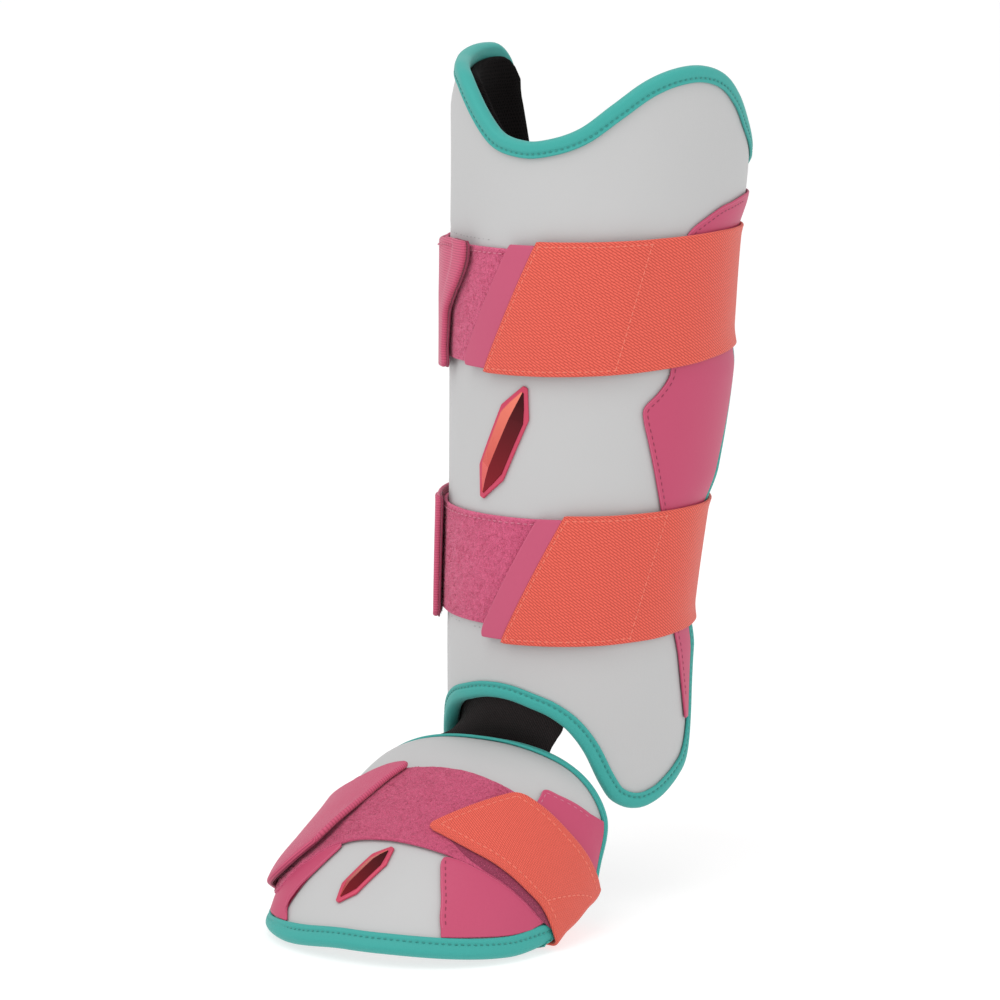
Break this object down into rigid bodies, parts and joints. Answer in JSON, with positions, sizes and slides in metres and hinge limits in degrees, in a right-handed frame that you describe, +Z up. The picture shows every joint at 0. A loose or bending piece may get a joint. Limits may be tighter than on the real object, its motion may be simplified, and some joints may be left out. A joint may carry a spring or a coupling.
{
  "type": "leg guard",
  "caption": "Batter's leg guard for the left leg: padded shin shell with bound edges, wrap straps and raised badge, and a domed foot guard hung below it on an elastic strip.",
  "frame": {"origin": "where the shin rests on the lining's inner face, on the front centre line at mid height of the shin guard", "axes": "+Z up the leg, -Y to the front, +Y towards the leg and calf, +X to the outer side of the left leg"},
  "size_m": [0.1422, 0.251, 0.3685],
  "materials": {
    "grey_cover": "smooth synthetic leather with a faint grain",
    "teal_binding": "folded edge tape, stitched along its leg",
    "mesh_lining": "black air mesh over a soft pad",
    "pink_cover": "smooth synthetic leather with a faint grain",
    "pink_loop": "brushed loop fabric, fuzzy and matte",
    "orange_elastic": "twill woven elastic with stitched edges",
    "pink_ribbed": "ribbed woven strap end with a sewn hem",
    "black_elastic": "black twill elastic",
    "badge_rim": "moulded pink rim",
    "badge_gem": "metallic dark red facets"
  },
  "bodies": {
    "root": {"shin_shell": "grey_cover", "shin_binding": "teal_binding", "shin_lining": "mesh_lining", "lateral_panel": "pink_cover", "upper_loop_panel": "pink_loop", "upper_strap": "orange_elastic", "upper_strap_tab": "pink_cover", "upper_strap_end": "pink_ribbed", "lower_loop_panel": "pink_loop", "lower_strap": "orange_elastic", "lower_strap_tab": "pink_cover", "lower_strap_end": "pink_ribbed", "shin_badge_base": "badge_rim", "shin_badge_gem": "badge_gem", "connector_elastic": "black_elastic", "foot_shell": "grey_cover", "foot_binding": "teal_binding", "foot_lateral_front_panel": "pink_cover", "foot_lateral_rear_panel": "pink_cover", "foot_medial_front_panel": "pink_cover", "foot_medial_rear_panel": "pink_cover", "foot_loop_panel": "pink_loop", "foot_strap": "orange_elastic", "foot_strap_end": "pink_ribbed", "foot_badge_base": "badge_rim", "foot_badge_gem": "badge_gem"}
  },
  "joints": []
}
